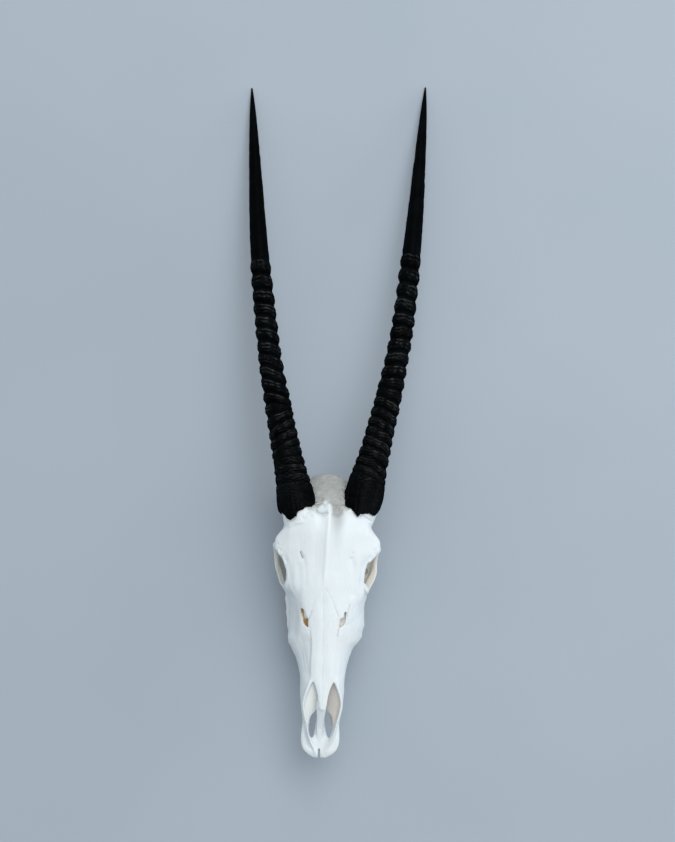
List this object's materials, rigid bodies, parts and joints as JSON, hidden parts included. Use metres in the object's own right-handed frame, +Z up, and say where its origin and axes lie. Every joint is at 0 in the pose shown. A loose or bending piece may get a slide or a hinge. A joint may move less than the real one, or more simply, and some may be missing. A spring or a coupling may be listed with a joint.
{
  "type": "gemsbok skull",
  "caption": "Cleaned long-horned antelope skull without its lower jaw, lying on its horn tips and the back of the head, with ringed horn sheaths and upper cheek teeth as separate pieces.",
  "frame": {"origin": "middle of the base of the bounding box, on the surface the skull lies on", "axes": "+Z up, -Y towards the nose, +Y towards the horn tips, +X to the animal's left"},
  "size_m": [0.281, 1.0646, 0.1493],
  "materials": {
    "bone": "dry cleaned bone, matt, cool white",
    "keratin": "near-black horn, dull sheen, ringed and finely grooved along its length",
    "tooth": "tooth enamel, smooth, ivory"
  },
  "bodies": {
    "root": {"cranium": "bone", "left_horn": "keratin", "right_horn": "keratin", "left_premolar_2": "tooth", "left_premolar_3": "tooth", "left_premolar_4": "tooth", "left_molar_1": "tooth", "left_molar_2": "tooth", "left_molar_3": "tooth", "right_premolar_2": "tooth", "right_premolar_3": "tooth", "right_premolar_4": "tooth", "right_molar_1": "tooth", "right_molar_2": "tooth", "right_molar_3": "tooth"}
  },
  "joints": []
}
